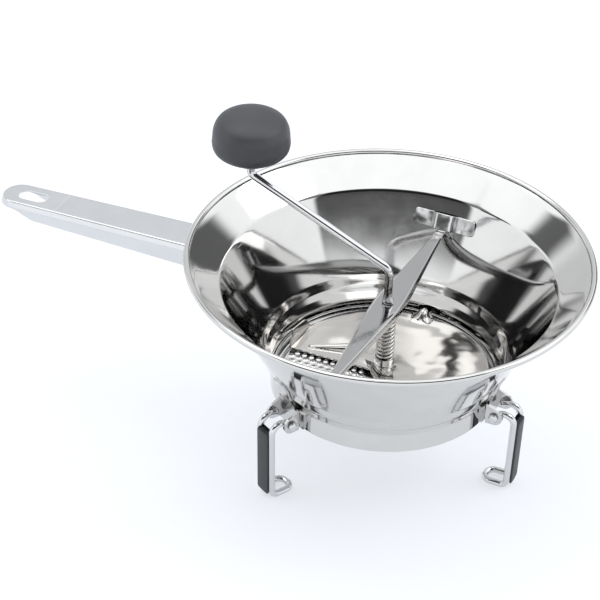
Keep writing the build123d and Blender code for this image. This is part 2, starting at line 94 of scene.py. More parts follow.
def divided(points, step):
    """The same polyline with long runs cut into short ones."""
    out = [points[0]]
    for a, b in zip(points, points[1:]):
        n = max(1, int(math.ceil((b - a).length / step)))
        out += [a.lerp(b, k / n) for k in range(1, n + 1)]
    return out


def offset_line(points, distance):
    """A 2-D polyline moved to its left by a distance."""
    out = []
    for i, p in enumerate(points):
        a = points[max(0, i - 1)]
        b = points[min(len(points) - 1, i + 1)]
        t = (b - a).normalized()
        out.append(Vector((p.x - t.y * distance, p.y + t.x * distance, 0)))
    return out


def make(name, verts, faces, material, body, stands_for=(), sharp=35, bevel=0.0):
    mesh = bpy.data.meshes.new(name)
    mesh.from_pydata([tuple(c * MM for c in v) for v in verts], [], faces)
    mesh.validate()
    shell = bmesh.new()
    shell.from_mesh(mesh)
    bmesh.ops.recalc_face_normals(shell, faces=shell.faces)
    shell.to_mesh(mesh)
    shell.free()
    mesh.polygons.foreach_set("use_smooth", [True] * len(mesh.polygons))
    mesh.update()
    obj = bpy.data.objects.new(name, mesh)
    bpy.context.scene.collection.objects.link(obj)
    mesh.materials.append(material)
    if bevel:
        mod = obj.modifiers.new("edge", "BEVEL")
        mod.width = bevel * MM
        mod.segments = 2
        mod.limit_method = "ANGLE"
        mod.angle_limit = math.radians(50)
        bake(obj)
    obj.data.set_sharp_from_angle(angle=math.radians(sharp))
    if stands_for:
        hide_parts(*stands_for)
    if body:
        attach(obj, body)
    return obj


def bake(obj):
    """Applies the modifiers."""
    graph = bpy.context.evaluated_depsgraph_get()
    mesh = bpy.data.meshes.new_from_object(obj.evaluated_get(graph))
    obj.modifiers.clear()
    obj.data = mesh
    mesh.polygons.foreach_set("use_smooth", [True] * len(mesh.polygons))


def cut(obj, cutter):
    mod = obj.modifiers.new("cut", "BOOLEAN")
    mod.operation = "DIFFERENCE"
    mod.object = cutter
    mod.solver = "EXACT"
    bake(obj)
    bpy.data.objects.remove(cutter)


def lathe_data(profile, steps, closed, centre=(0, 0)):
    verts, faces, rings = [], [], []
    for p in profile:
        if abs(p.x) < 1e-6:
            verts.append(Vector((centre[0], centre[1], p.y)))
            rings.append([len(verts) - 1] * steps)
            continue
        ring = []
        for s in range(steps):
            a = 2 * math.pi * s / steps
            verts.append(Vector((centre[0] + p.x * math.cos(a), centre[1] + p.x * math.sin(a), p.y)))
            ring.append(len(verts) - 1)
        rings.append(ring)
    pairs = list(zip(rings, rings[1:])) + ([(rings[-1], rings[0])] if closed else [])
    for low, high in pairs:
        for s in range(steps):
            t = (s + 1) % steps
            quad = [low[s], low[t], high[t], high[s]]
            faces.append(list(dict.fromkeys(quad)))
    return verts, [f for f in faces if len(f) > 2]


def tube_data(points, radius, sides=20, cap=0.4):
    """A round bar along a path, with slightly rounded ends."""
    points = [Vector(p) for p in points]
    count = len(points)
    radii = [radius] * count if not callable(radius) else [radius(k / (count - 1)) for k in range(count)]
    tangents = []
    for i in range(count):
        a, b = points[max(0, i - 1)], points[min(count - 1, i + 1)]
        tangents.append((b - a).normalized())
    side = tangents[0].orthogonal().normalized()
    verts, faces, rings = [], [], []

    def ring(centre, tangent, side_dir, r):
        up = tangent.cross(side_dir).normalized()
        base = len(verts)
        for s in range(sides):
            a = 2 * math.pi * s / sides
            verts.append(centre + (side_dir * math.cos(a) + up * math.sin(a)) * r)
        rings.append(list(range(base, base + sides)))

    for i in range(count):
        if i:
            turn = tangents[i - 1].rotation_difference(tangents[i])
            side = turn @ side
        side = (side - tangents[i] * side.dot(tangents[i])).normalized()
        if i == 0:
            ring(points[0], tangents[0], side, radii[0] - cap)
            ring(points[0] + tangents[0] * cap, tangents[0], side, radii[0])
        elif i == count - 1:
            ring(points[i] - tangents[i] * cap, tangents[i], side, radii[i])
            ring(points[i], tangents[i], side, radii[i] - cap)
        else:
            ring(points[i], tangents[i], side, radii[i])
    for low, high in zip(rings, rings[1:]):
        for s in range(sides):
            t = (s + 1) % sides
            faces.append([low[s], low[t], high[t], high[s]])
    faces.append(list(reversed(rings[0])))
    faces.append(rings[-1])
    return verts, faces


def skin(sections, closed_ends=True):
    """Joins closed outlines with the same number of points."""
    verts, faces = [], []
    n = len(sections[0])
    for outline in sections:
        verts += [Vector(p) for p in outline]
    for k in range(len(sections) - 1):
        for s in range(n):
            t = (s + 1) % n
            faces.append([k * n + s, k * n + t, (k + 1) * n + t, (k + 1) * n + s])
    if closed_ends:
        faces.append(list(reversed(range(n))))
        faces.append([(len(sections) - 1) * n + s for s in range(n)])
    return verts, faces


def turned(verts, angle):
    spin = Matrix.Rotation(math.radians(angle), 3, "Z")
    return [spin @ v for v in verts]


# ---------------------------------------------------------------- materials


def nodes_of(name):
    mat = bpy.data.materials.new(name)
    mat.use_nodes = True
    tree = mat.node_tree
    shader = tree.nodes["Principled BSDF"]
    return mat, tree, shader


def add(tree, kind, **values):
    node = tree.nodes.new(kind)
    for key, value in values.items():
        if key in node.inputs:
            node.inputs[key].default_value = value
        else:
            setattr(node, key, value)
    return node


def metal(name, colour, rough=(0.05, 0.10), wave=0.02, wave_scale=18.0, grain=0.0, grain_stretch=(1, 1, 1),
          grain_scale=900.0, tint=0.04, smudge=0.03):
    """Polished steel: slow pressing waves, faint polishing marks and finger smudges in the roughness."""
    mat, tree, shader = nodes_of(name)
    shader.inputs["Metallic"].default_value = 1.0
    place = add(tree, "ShaderNodeTexCoord")
    slow = add(tree, "ShaderNodeTexNoise", Scale=wave_scale, Detail=2.0)
    tree.links.new(place.outputs["Object"], slow.inputs["Vector"])
    patch = add(tree, "ShaderNodeTexNoise", Scale=55.0, Detail=5.0, Roughness=0.6)
    tree.links.new(place.outputs["Object"], patch.inputs["Vector"])
    shade = add(tree, "ShaderNodeValToRGB")
    dark = [c * (1 - tint) for c in colour]
    shade.color_ramp.elements[0].color = (*dark, 1)
    shade.color_ramp.elements[0].position = 0.35
    shade.color_ramp.elements[1].color = (*colour, 1)
    shade.color_ramp.elements[1].position = 0.65
    tree.links.new(patch.outputs["Fac"], shade.inputs["Fac"])
    tree.links.new(shade.outputs["Color"], shader.inputs["Base Color"])
    spread = add(tree, "ShaderNodeMapRange")
    spread.inputs["From Min"].default_value = 0.3
    spread.inputs["From Max"].default_value = 0.7
    spread.inputs["To Min"].default_value = rough[0]
    spread.inputs["To Max"].default_value = rough[1]
    tree.links.new(patch.outputs["Fac"], spread.inputs["Value"])
    streak_map = add(tree, "ShaderNodeMapping")
    streak_map.inputs["Scale"].default_value = grain_stretch
    streak = add(tree, "ShaderNodeTexNoise", Scale=grain_scale, Detail=3.0, Roughness=0.7)
    tree.links.new(place.outputs["Object"], streak_map.inputs["Vector"])
    tree.links.new(streak_map.outputs["Vector"], streak.inputs["Vector"])
    marks = add(tree, "ShaderNodeMath", operation="MULTIPLY_ADD")
    marks.inputs[1].default_value = smudge
    tree.links.new(streak.outputs["Fac"], marks.inputs[0])
    tree.links.new(spread.outputs["Result"], marks.inputs[2])
    tree.links.new(marks.outputs["Value"], shader.inputs["Roughness"])
    bump = add(tree, "ShaderNodeBump", Strength=wave, Distance=0.004)
    tree.links.new(slow.outputs["Fac"], bump.inputs["Height"])
    last = bump
    if grain:
        fine = add(tree, "ShaderNodeBump", Strength=grain, Distance=0.0002)
        tree.links.new(streak.outputs["Fac"], fine.inputs["Height"])
        tree.links.new(bump.outputs["Normal"], fine.inputs["Normal"])
        last = fine
    tree.links.new(last.outputs["Normal"], shader.inputs["Normal"])
    return mat


def moulded(name, colour, rough, grain_scale, grain, spec=0.45):
    """Moulded plastic or rubber with a fine eroded surface."""
    mat, tree, shader = nodes_of(name)
    place = add(tree, "ShaderNodeTexCoord")
    fine = add(tree, "ShaderNodeTexNoise", Scale=grain_scale, Detail=3.0)
    tree.links.new(place.outputs["Object"], fine.inputs["Vector"])
    broad = add(tree, "ShaderNodeTexNoise", Scale=40.0, Detail=4.0)
    tree.links.new(place.outputs["Object"], broad.inputs["Vector"])
    shade = add(tree, "ShaderNodeValToRGB")
    shade.color_ramp.elements[0].color = (*[c * 0.8 for c in colour], 1)
    shade.color_ramp.elements[0].position = 0.3
    shade.color_ramp.elements[1].color = (*[c * 1.25 for c in colour], 1)
    shade.color_ramp.elements[1].position = 0.7
    tree.links.new(broad.outputs["Fac"], shade.inputs["Fac"])
    tree.links.new(shade.outputs["Color"], shader.inputs["Base Color"])
    spread = add(tree, "ShaderNodeMapRange")
    spread.inputs["From Min"].default_value = 0.3
    spread.inputs["From Max"].default_value = 0.7
    spread.inputs["To Min"].default_value = rough - 0.04
    spread.inputs["To Max"].default_value = rough + 0.05
    tree.links.new(broad.outputs["Fac"], spread.inputs["Value"])
    tree.links.new(spread.outputs["Result"], shader.inputs["Roughness"])
    shader.inputs["Specular IOR Level"].default_value = spec
    bump = add(tree, "ShaderNodeBump", Strength=grain, Distance=0.0003)
    tree.links.new(fine.outputs["Fac"], bump.inputs["Height"])
    tree.links.new(bump.outputs["Normal"], shader.inputs["Normal"])
    return mat


BOWL = metal("polished_bowl", (0.635, 0.63, 0.62), rough=(0.035, 0.065), wave=0.05, wave_scale=14)
BLADE = metal("polished_blade", (0.53, 0.515, 0.495), rough=(0.07, 0.13), wave=0.45, wave_scale=26)
# The crossbar's steel colour is darker than the bowl's: painted shade standing in for the darker surroundings
# it reflects.
BAR = metal("crossbar_steel_painted_shade", (0.42, 0.42, 0.42), rough=(0.08, 0.14), wave=0.10, wave_scale=30)
FITTING = metal("polished_fittings", (0.60, 0.595, 0.59), rough=(0.10, 0.18), wave=0.10, wave_scale=70)
STRAP = metal("bright_straps", (0.60, 0.60, 0.595), rough=(0.08, 0.14), wave=0.20, wave_scale=60)
WIRE = metal("bright_wire", (0.66, 0.66, 0.67), rough=(0.05, 0.09), wave=0.02, wave_scale=60)
COIL = metal("spring_wire", (0.56, 0.545, 0.52), rough=(0.12, 0.20), wave=0.02, wave_scale=90)
DISC = metal("bright_disc", (0.68, 0.68, 0.675), rough=(0.14, 0.22), wave=0.05, wave_scale=50)
SATIN = metal("satin_handle", (0.67, 0.68, 0.695), rough=(0.10, 0.16), wave=0.04, wave_scale=20, grain=0.10,
              grain_stretch=(0.03, 1, 1), grain_scale=1600, smudge=0.08)
KNOB = moulded("black_knob", (0.042, 0.044, 0.049), 0.46, 2600, 0.22, spec=0.5)
RUBBER = moulded("black_pads", (0.026, 0.028, 0.032), 0.46, 1800, 0.35, spec=0.45)

CARRIED = {
    "spring_cup": FITTING,
    "blade_hub": FITTING,
    "knob_cap": KNOB,
}
for number in (1, 2, 3):
    CARRIED[f"leg_bracket_{number}"] = FITTING
for node, material in CARRIED.items():
    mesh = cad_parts[node].data
    mesh.materials.clear()
    mesh.materials.append(material)

# ---------------------------------------------------------------- bowl
CONE_LOW = Vector((74, 27, 0))
CONE_TOP = Vector((99.5, 72.6, 0))
RIM = Vector((118.1, 89.1, 0))
CONE_SLOPE = (CONE_TOP.x - CONE_LOW.x) / (CONE_TOP.y - CONE_LOW.y)
WALL = [(64.6, 0, 0), (68, 0, 0), (68, 13, 0), (70, 17.5, 0), (72, 21, 0), CONE_LOW, CONE_TOP, RIM]
WALL_RADII = [1.0, 3.0, 4.0, 3.0, 4.0, 6.0]
SHEET = 0.8
BEAD_R = 1.9
outer = divided(rounded(WALL, WALL_RADII, 4), 2.0)
inner = offset_line(outer, SHEET)
outer = [p for p in outer if (p - RIM).length > BEAD_R + 0.5]
inner = [p for p in inner if (p - RIM).length > BEAD_R + 0.5]


def angle_at(p):
    """Direction of a wall point from the middle of the rolled bead."""
    return math.atan2(p.y - RIM.y, p.x - RIM.x)


start_a = angle_at(outer[-1]) + 0.12
end_a = angle_at(inner[-1]) - 0.12
while end_a < start_a:
    end_a += 2 * math.pi
ROLL_STEPS = 24
roll = []
for k in range(ROLL_STEPS + 1):
    a = start_a + (end_a - start_a) * k / ROLL_STEPS
    roll.append(RIM + Vector((math.cos(a), math.sin(a), 0)) * BEAD_R)
profile = outer + roll + list(reversed(inner))
verts, faces = lathe_data(profile, 288, True)
make("bowl_pressing", verts, faces, BOWL, "bowl", ["bowl_shell"], sharp=40)

# ---------------------------------------------------------------- strainer disc
PITCH, DISC_TOP = 4.7, 2.4
ROW_STEP = PITCH * 0.866
HOLES_FROM, HOLES_TO = 10, 59
FLAT_R, DISC_BORE = 61.5, 3.1


def spot_at(column, row):
    """Middle of a raised hole, or None outside the perforated ring."""
    x, y = PITCH * (column + 0.5 * (row % 2)), ROW_STEP * row
    return (x, y) if HOLES_FROM < math.hypot(x, y) < HOLES_TO else None


spots = []
rows = int(HOLES_TO / ROW_STEP) + 1
for row in range(-rows, rows + 1):
    for column in range(-rows, rows + 1):
        spot = spot_at(column, row)
        if spot:
            spots.append(spot)
SIDES = 12
# Section of one raised hole: radius and height over the flat
BUMP = [(2.05, 0.0), (1.95, 0.02), (1.7, 0.16), (1.45, 0.38), (1.25, 0.50), (1.08, 0.50), (1.0, 0.36),
        (0.98, -0.6)]
flat_points, loops = [], []


def loop_of(centre, radius, sides):
    """Adds a circle that the flat is cut along."""
    base = len(flat_points)
    for s in range(sides):
        a = 2 * math.pi * s / sides
        flat_points.append(Vector((centre[0] + radius * math.cos(a), centre[1] + radius * math.sin(a))))
    loops.append(list(range(base, base + sides)))


EDGE = 144
loop_of((0, 0), FLAT_R, EDGE)
loop_of((0, 0), DISC_BORE, 24)
for spot in spots:
    loop_of(spot, BUMP[0][0], SIDES)
edges = [(loop[k], loop[(k + 1) % len(loop)]) for loop in loops for k in range(len(loop))]
got = geometry.delaunay_2d_cdt(flat_points, edges, [], 0, 1e-6)
points2, tris = got[0], got[2]
disc_verts = [Vector((p.x, p.y, DISC_TOP)) for p in points2]
disc_faces = []
for tri in tris:
    c = sum((points2[i] for i in tri), Vector((0, 0))) / 3
    if c.length < DISC_BORE - 0.1 or c.length > FLAT_R + 0.1:
        continue
    row = round(c.y / ROW_STEP)
    in_hole = False
    for beside in (row - 1, row, row + 1):
        spot = spot_at(round(c.x / PITCH - 0.5 * (beside % 2)), beside)
        if spot and (c.x - spot[0]) ** 2 + (c.y - spot[1]) ** 2 < (BUMP[0][0] * 0.93) ** 2:
            in_hole = True
    if not in_hole:
        disc_faces.append(list(tri))
for loop, spot in zip(loops[2:], spots):
    ring = loop
    for r, z in BUMP[1:]:
        base = len(disc_verts)
        for s in range(SIDES):
            a = 2 * math.pi * s / SIDES
            disc_verts.append(Vector((spot[0] + r * math.cos(a), spot[1] + r * math.sin(a), DISC_TOP + z)))
        fresh = list(range(base, base + SIDES))
        for s in range(SIDES):
            t = (s + 1) % SIDES
            disc_faces.append([ring[s], ring[t], fresh[t], fresh[s]])
        ring = fresh
rim = rounded([(FLAT_R, DISC_TOP, 0), (62.3, DISC_TOP, 0), (63.8, 1.45, 0), (66.3, 1.45, 0), (66.3, 7.7, 0)],
              [1.0, 1.0, 1.2], 6)
rim = divided(rim, 1.5)
back = rounded([(66.9, 7.7, 0), (66.9, 0.86, 0), (63.6, 0.86, 0), (62.0, 1.8, 0), (DISC_BORE, 1.8, 0)],
               [1.6, 0.8, 0.8], 6)
back = divided(back, 4.0)
lip = [Vector((66.42, 7.92, 0)), Vector((66.6, 8.0, 0)), Vector((66.78, 7.92, 0))]
rv, rf = lathe_data(rim + lip + back, EDGE, False)
base = len(disc_verts)
disc_verts += rv
disc_faces += [[i + base for i in f] for f in rf]
make("strainer_plate", disc_verts, disc_faces, DISC, "bowl", ["strainer_disc"], sharp=50)

# ---------------------------------------------------------------- blade
BLADE_R, HUB_R, BLADE_SHEET, SLIT_R, LEAD = 62.5, 5.74, 1.0, 13.5, -50.0
# Angle behind the trailing edge, height at the hub, height at the rim
SWEEP = [(0, 5.0, 3.7), (30, 6.0, 6.4), (60, 6.6, 7.0), (90, 7.2, 7.4), (120, 8.0, 8.8), (150, 8.8, 12.2),
         (180, 9.4, 16.0), (210, 9.9, 19.4), (240, 10.3, 22.4), (270, 10.7, 25.0), (300, 11.0, 27.2),
         (330, 11.3, 29.2), (348, 11.5, 30.4)]


def between(values, t):
    """Smooth curve through evenly read values (Catmull-Rom)."""
    k = max(0, min(len(values) - 2, int(t)))
    f = t - k
    p0, p1 = values[max(0, k - 1)], values[k]
    p2, p3 = values[k + 1], values[min(len(values) - 1, k + 2)]
    return 0.5 * (2 * p1 + (p2 - p0) * f + (2 * p0 - 5 * p1 + 4 * p2 - p3) * f * f
                  + (3 * p1 - p0 - 3 * p2 + p3) * f ** 3)


def sheet_height(radius, angle):
    """Height of the blade's underside."""
    t = angle / 30 if angle <= 330 else 11 + (angle - 330) / 18
    low = between([s[1] for s in SWEEP], t)
    high = between([s[2] for s in SWEEP], t)
    return low + (high - low) * (radius - HUB_R) / (BLADE_R - HUB_R)


def cone_height(x, y, wide, wide_r, thin, thin_r):
    """Height of a half-round rib over the sheet."""
    run = thin - wide
    along = max(0.0, min(1.0, ((x - wide.x) * run.x + (y - wide.y) * run.y) / run.length_squared))
    centre = wide.lerp(thin, along)
    r = wide_r + (thin_r - wide_r) * along
    d = math.hypot(x - centre.x, y - centre.y)
    u = d / (r * 1.12)
    return r * (1 - u * u) ** 0.72 if u <= 1 else 0.0


# Wide end and its radius, thin end and its radius
RIBS = [(polar(27, 152).xy, 4.0, polar(50.5, 174).xy, 1.3)]


HUMP_ANGLE, HUMP_R, HUMP_RUN, HUMP_HALF, HUMP_HEIGHT = 91, 53, 8.0, 7.4, 5.6


def hump_height(r, angle):
    """The smooth hump pressed up at the blade's edge."""
    if r < HUMP_R or abs(angle - HUMP_ANGLE) > 9:
        return 0.0
    u = min(1.0, abs(math.radians(angle - HUMP_ANGLE)) * r / HUMP_HALF)
    t = min(1.0, (r - HUMP_R) / HUMP_RUN)
    return HUMP_HEIGHT * (0.5 + 0.5 * math.cos(math.pi * u)) * t * t * (3 - 2 * t)


lead_n = Vector((math.sin(math.radians(-LEAD)), math.cos(math.radians(LEAD))))


def blade_reach(angle):
    """Outer radius of the blade at an angle behind its trailing edge."""
    u = polar(1, 180 - angle).xy
    facing = lead_n.dot(u)
    if angle > 181 and facing < 0:
        return min(BLADE_R, SLIT_R * lead_n.x / -facing)
    return BLADE_R


angles = []
a = 0.3
while a < 347:
    angles.append(a)
    hump = 82 < a < 100
    rib = a < 44
    corner = 226 < a < 246
    a += 0.4 if hump else 0.8 if rib else 0.5 if corner else 1.6
angles.append(347)
ACROSS = 84
top, under = [], []
for a in angles:
    reach = blade_reach(a)
    line_top, line_under = [], []
    for k in range(ACROSS + 1):
        r = HUB_R + (reach - HUB_R) * k / ACROSS
        p = polar(r, 180 - a)
        z = sheet_height(r, a)
        lift = max([cone_height(p.x, p.y, *rib) for rib in RIBS] + [hump_height(r, a)])
        line_top.append(Vector((p.x, p.y, z + BLADE_SHEET + lift)))
        line_under.append(Vector((p.x, p.y, z + max(0.0, lift - (0.0 if lift < 1 else 0.2)))))
    top.append(line_top)
    under.append(line_under)
verts = [p for line in top for p in line] + [p for line in under for p in line]
W = ACROSS + 1
H = len(angles)
N = W * H
faces = []
for i in range(H - 1):
    for k in range(ACROSS):
        faces.append([i * W + k, i * W + k + 1, (i + 1) * W + k + 1, (i + 1) * W + k])
        faces.append([N + i * W + k, N + (i + 1) * W + k, N + (i + 1) * W + k + 1, N + i * W + k + 1])
    faces.append([i * W + ACROSS, N + i * W + ACROSS, N + (i + 1) * W + ACROSS, (i + 1) * W + ACROSS])
    faces.append([i * W, (i + 1) * W, N + (i + 1) * W, N + i * W])
for k in range(ACROSS):
    faces.append([k, N + k, N + k + 1, k + 1])
    e = (H - 1) * W
    faces.append([e + k, e + k + 1, N + e + k + 1, N + e + k])
make("blade_sheet", verts, faces, BLADE, "crank", ["blade"], sharp=50)

# Upturned wing at the blade's trailing corner
WING_R, WING_BEHIND = 60.4, 11.4
wing_a = 180 - WING_BEHIND
out = polar(1, wing_a)
tan = polar(1, wing_a + 90)
lean = math.radians(12)
up = Vector((0, 0, math.cos(lean))) + out * math.sin(lean)
root = polar(WING_R, wing_a, sheet_height(WING_R, WING_BEHIND) + 0.3)
outline = rounded([(-12, 0, 0), (-6.5, 9.5, 0), (6.5, 9.5, 0), (12, 0, 0)], [1.6, 1.6], 15)
normal = out * math.cos(lean) - Vector((0, 0, math.sin(lean)))
front = [root + tan * p.x + up * p.y + normal * 0.05 for p in outline]
rear = [p + normal * 1.0 for p in front]
verts, faces = skin([front, rear])
make("blade_wing", verts, faces, BLADE, "crank", (), bevel=0.15)

# ---------------------------------------------------------------- crossbar
TOP, BAR_SHEET, BAR_REACH = 58.0, 1.2, 78
FOLD_R, FOLD_STEPS = 1.3, 6


def bar_half(y):
    """Half the width of the leaf-shaped bar."""
    y = abs(y)
    t = y / 45 if y < 45 else 1 + (y - 45) / 33
    pts = [5.4, 8.8, 5.4, 2.8, 1.2]
    return between(pts, 1 + t)


sections = []
BAR_STEPS, FLAT_STEPS = 96, 12
for i in range(BAR_STEPS + 1):
    y = -BAR_REACH + 2 * BAR_REACH * i / BAR_STEPS
    half = bar_half(y)
    foot = TOP - 5.5 + 3.3 * (y / 79) ** 2
    crown = 0.35 * min(1, half / 8)
    outside = [Vector((-half, 0, foot)), Vector((-half, 0, TOP - FOLD_R))]
    for k in range(1, FOLD_STEPS):
        a = math.pi - math.pi / 2 * k / FOLD_STEPS
        outside.append(Vector((FOLD_R - half + FOLD_R * math.cos(a), 0, TOP - FOLD_R + FOLD_R * math.sin(a))))
    for k in range(FLAT_STEPS + 1):
        x = (-half + FOLD_R) + 2 * (half - FOLD_R) * k / FLAT_STEPS
        outside.append(Vector((x, 0, TOP - 0.02 - crown * (x / half) ** 2)))
    for k in range(FOLD_STEPS - 1, 0, -1):
        a = math.pi / 2 * k / FOLD_STEPS
        outside.append(Vector((half - FOLD_R + FOLD_R * math.cos(a), 0, TOP - FOLD_R + FOLD_R * math.sin(a))))
    outside += [Vector((half, 0, TOP - FOLD_R)), Vector((half, 0, foot))]
    s = BAR_SHEET
    inner_half = half - s
    inside = [Vector((inner_half, 0, foot)), Vector((inner_half, 0, TOP - s - 0.6))]
    inside += [Vector((inner_half - 0.5, 0, TOP - s - 0.1)), Vector((0, 0, TOP - s))]
    inside += [Vector((0.5 - inner_half, 0, TOP - s - 0.1)), Vector((-inner_half, 0, TOP - s - 0.6))]
    inside += [Vector((-inner_half, 0, foot))]
    sections.append([Vector((p.x, y, p.z)) for p in outside + inside])
verts, faces = skin(sections)
bar = make("crossbar_plate", verts, faces, BAR, None, ["crossbar"], sharp=50)
drill_v, drill_f = tube_data([(0, 0, 50), (0, 0, 60)], 2.62, 32, 0.01)
drill = make("drill", drill_v, drill_f, BAR, None)
cut(bar, drill)
bar.data.set_sharp_from_angle(angle=math.radians(50))
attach(bar, "crossbar")

# Prongs that hook behind the brackets
WALL_TILT = math.atan(CONE_SLOPE)
STRAP_Z = 60.4


def wall_r(z):
    """Inner radius of the bowl's cone at a height."""
    return CONE_TOP.x - (CONE_TOP.y - z) * CONE_SLOPE - SHEET / math.cos(WALL_TILT)


PRONG_SHEET, PRONG_HALF = 1.1, 2.75
for side in (-1, 1):
    prong_r = wall_r(STRAP_Z) - 2.3 * math.cos(WALL_TILT)
    prong_z = STRAP_Z + 2.3 * math.sin(WALL_TILT)
    along = Vector((math.sin(WALL_TILT), math.cos(WALL_TILT)))
    low = (prong_z - TOP + BAR_SHEET) / math.cos(WALL_TILT)
    foot = Vector((prong_r, prong_z)) - along * low
    head = Vector((prong_r, prong_z)) - along * 2.0
    line = rounded([(77.6, TOP - 0.7, 0), (foot.x - 0.6, TOP - 0.7, 0), (head.x - 0.6, head.y, 0)], [1.4], 12)
    sections = []
    for a, b in zip(offset_line(line, PRONG_SHEET / 2), offset_line(line, -PRONG_SHEET / 2)):
        sections.append([Vector((-PRONG_HALF, side * a.x, a.y)), Vector((PRONG_HALF, side * a.x, a.y)),
                         Vector((PRONG_HALF, side * b.x, b.y)), Vector((-PRONG_HALF, side * b.x, b.y))])
    verts, faces = skin(sections)
    make("crossbar_prong_" + ("front" if side < 0 else "rear"), verts, faces, BAR, "crossbar", (),
         bevel=0.2)

# ---------------------------------------------------------------- straps that hold the crossbar
CURVE_R = wall_r(STRAP_Z) / math.cos(WALL_TILT) - 1.5


def sag(along):
    """How far the round wall falls away from a flat strap."""
    return CURVE_R - math.sqrt(CURVE_R ** 2 - along ** 2) + 0.1


STRAP_HALF, EAR_R, STRAP_SHEET = 5.0, 2.4, 1.0
KNEE, LOOP_HALF, LOOP_RISE = 7.4, 5.0, 5.1
STRAP_END, WELD_AT, WELD_STEP, WELD_DROP = 20, 14.1, 3.6, 2.5
# Ring of one weld dot: radius and height
DOT = [(1.15, -0.05), (1.05, 0.10), (0.9, 0.16), (0.72, 0.10), (0.5, -0.02), (0.25, -0.07), (0, -0.08)]
for side, name in ((1, "rear"), (-1, "front")):
    origin = Vector((0, side * wall_r(STRAP_Z), STRAP_Z))
    ax = Vector((side, 0, 0))
    az = Vector((0, -side * math.cos(WALL_TILT), math.sin(WALL_TILT)))
    ay = az.cross(ax)
    tip = Vector((-STRAP_END, sag(STRAP_END), 0))
    line = rounded([tip, (-KNEE, sag(KNEE), 0), (-LOOP_HALF, LOOP_RISE, 0), (LOOP_HALF, LOOP_RISE, 0),
                    (KNEE, sag(KNEE), 0), (STRAP_END, tip.y, 0)], [1.2, 2.6, 2.6, 1.2], 8)
    fine = divided(line, 2.0)
    ends = [tip.lerp(fine[1], k / 6) for k in range(1, 6)]
    line = [fine[0]] + ends + fine[1:-1] + [Vector((-p.x, p.y, 0)) for p in reversed(ends)] + [fine[-1]]
    sections = []
    for p, q in zip(line, offset_line(line, STRAP_SHEET)):
        past = max(0.0, abs(p.x) - (STRAP_END - EAR_R))
        half = STRAP_HALF - (EAR_R - math.sqrt(max(0.0, EAR_R ** 2 - past ** 2)))
        edge = p + (q - p) * 0.7
        ring = [(p, -half), (p, half), (edge, half), (q, half - 0.3), (q, 0.3 - half), (edge, -half)]
        sections.append([origin + ax * c.x + az * c.y + ay * h for c, h in ring])
    verts, faces = skin(sections)
    make(f"strap_{name}", verts, faces, STRAP, "bowl", [f"crossbar_bracket_{name}"],
         sharp=30)
    weld_v, weld_f = [], []
    for hand in (-1, 1):
        for step in (-1, 0, 1):
            along = hand * WELD_AT + step * WELD_STEP * hand
            fall = (sag(STRAP_END) - sag(8.4)) * (abs(along) - WELD_AT) / 11.6
            centre = origin + ax * along + az * (sag(WELD_AT) + STRAP_SHEET + fall)
            centre = centre - ay * step * WELD_DROP
            v, f = lathe_data([Vector((r, z, 0)) for r, z in DOT], 20, False)
            base = len(weld_v)
            weld_v += [centre + ax * p.x + ay * p.y + az * p.z for p in v]
            weld_f += [[i + base for i in face] for face in f]
    make(f"strap_welds_{name}", weld_v, weld_f, FITTING, "bowl", (), sharp=60)

# ---------------------------------------------------------------- handle
TIP, TIP_HALF, ROOT_HALF, ROOT_X = 260.0, 12.0, 14.0, 82
GRIP_SHEET = 1.2
# Section of the folded edge: inset from the side and drop from the top
EDGE_PROFILE = [(3.1, 0.0), (2.7, 0.0), (2.0, -0.03), (1.65, -0.18), (1.36, -0.44), (1.16, -0.80),
                (1.0, -1.2), (0.25, -3.1), (0.08, -3.5), (0.02, -3.8), (0.14, -4.1), (0.34, -4.3)]


def handle_top(x):
    """Height of the handle's top, falling towards the tip."""
    return 69.2 + (62.2 - 69.2) * (-x - ROOT_X) / (257 - ROOT_X)


def handle_foot(x):
    """Height of the sides' lower edge, rising at the tip."""
    t = min(1.0, max(0.0, (x + TIP - 11) / 17))
    t = t * t * (3 - 2 * t)
    return (handle_top(x) - 4.6) * (1 - t) + 53.0 * t


SLOT_X, SLOT_R, SLOT_SHIFT, CREASE_X = -238.5, 5.25, 4.75, -218.0
SLOT_EDGE = SLOT_X + SLOT_SHIFT + SLOT_R
GRIP_X = [-ROOT_X - k * 6 for k in range(23)] + [-217.1, -217.6, CREASE_X, -218.4, -218.9, -224.0, SLOT_EDGE]
GRIP_X += [SLOT_EDGE - SLOT_R * (1 - math.cos(math.radians(k * 9))) for k in range(1, 11)]
GRIP_X += [SLOT_X, SLOT_X - SLOT_SHIFT]
GRIP_X += [SLOT_X - SLOT_SHIFT - SLOT_R * math.sin(math.radians(k * 9)) for k in range(1, 8)]
GRIP_X.append(TIP_HALF - TIP)
TIP_TURNS = [2.4] + [6 + k * 6 for k in range(29)] + [177.6]


def outline_of(inset):
    """Plan outline from the root, round the tip and back: centre-line x, sideways y."""
    bend = TIP - TIP_HALF
    side = []
    for x in GRIP_X:
        half = ROOT_HALF + (TIP_HALF - ROOT_HALF) * (x + ROOT_X) / (ROOT_X - bend)
        side.append(Vector((x, -(half - inset), 0)))
    tip = []
    for turn in TIP_TURNS:
        a = math.radians(turn)
        tip.append(Vector((-bend - (TIP_HALF - inset) * math.sin(a), -(TIP_HALF - inset) * math.cos(a), 0)))
    return side + tip + [Vector((p.x, -p.y, 0)) for p in reversed(side)]


def to_wall(x, y, z):
    """Ends a point at the bowl's wall instead of beyond it."""
    reach = CONE_LOW.x + (z - CONE_LOW.y) * CONE_SLOPE - 0.35
    limit = -math.sqrt(max(0.0, reach * reach - y * y))
    return Vector((min(x, limit), y, z))


